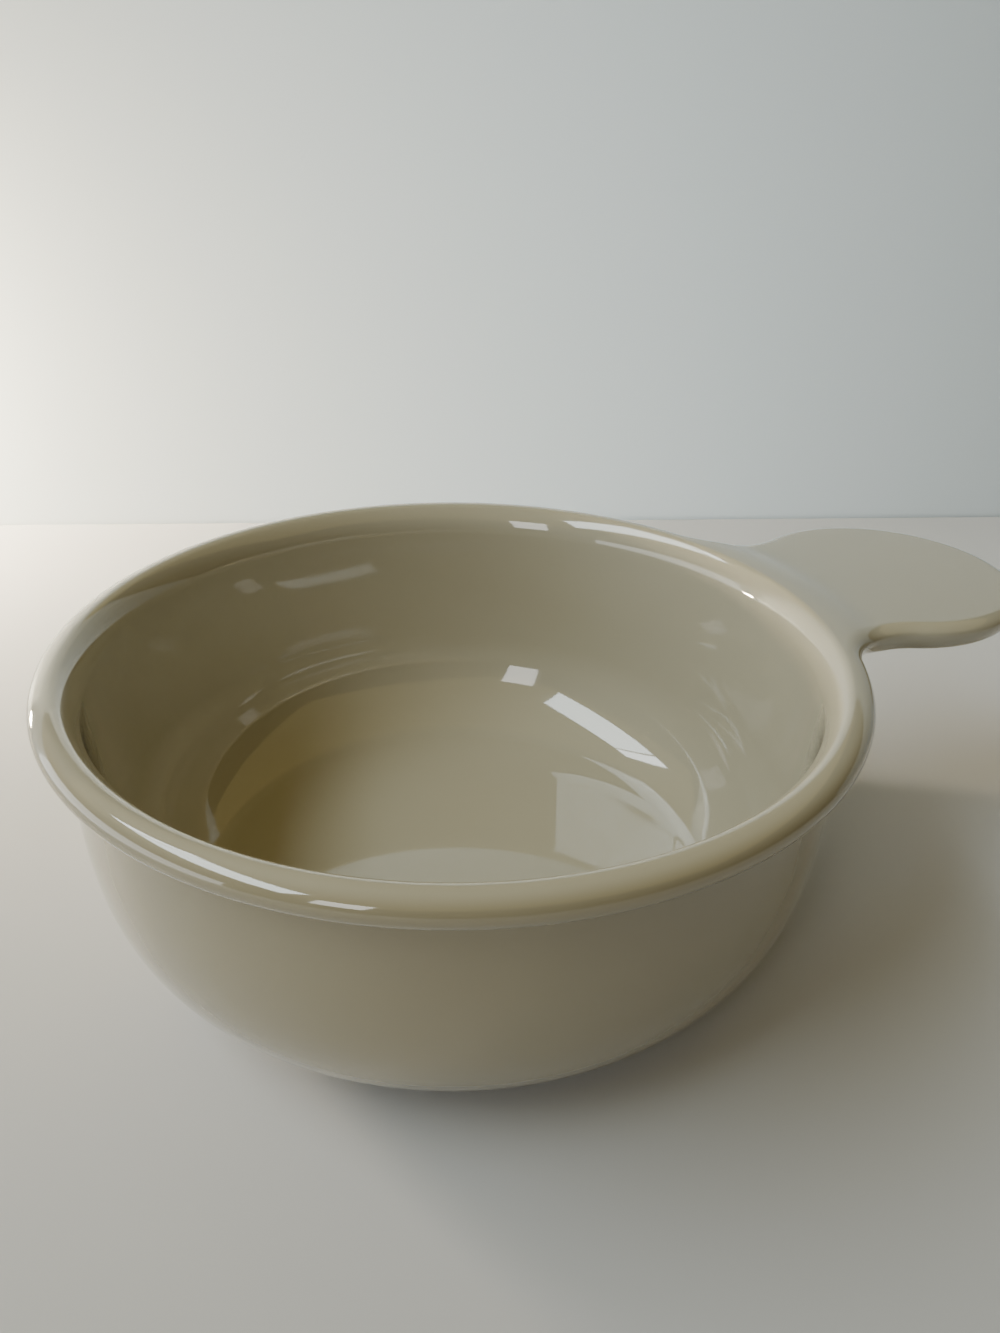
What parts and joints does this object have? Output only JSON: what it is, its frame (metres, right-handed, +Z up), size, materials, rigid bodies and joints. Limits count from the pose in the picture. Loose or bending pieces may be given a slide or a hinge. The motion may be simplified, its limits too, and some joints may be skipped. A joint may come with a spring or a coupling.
{
  "type": "lug soup bowl",
  "caption": "Glazed almond soup bowl with a rolled rim, a deep rounded well, a flat lug handle blended into the rim and a turned foot ring.",
  "frame": {"origin": "on the bowl's axis, in the plane of the foot ring that it stands on", "axes": "+X from the bowl's axis towards the tip of the lug handle, +Z up through the open mouth"},
  "size_m": [0.1964, 0.146, 0.057],
  "materials": {
    "glaze": "glossy almond glaze",
    "bare_clay": "smooth fired clay, glazed on its sides and wiped bare where it stands"
  },
  "bodies": {
    "root": {"bowl_body": "glaze", "rim_roll": "glaze", "lug_handle": "glaze", "foot_ring": "bare_clay"}
  },
  "joints": []
}
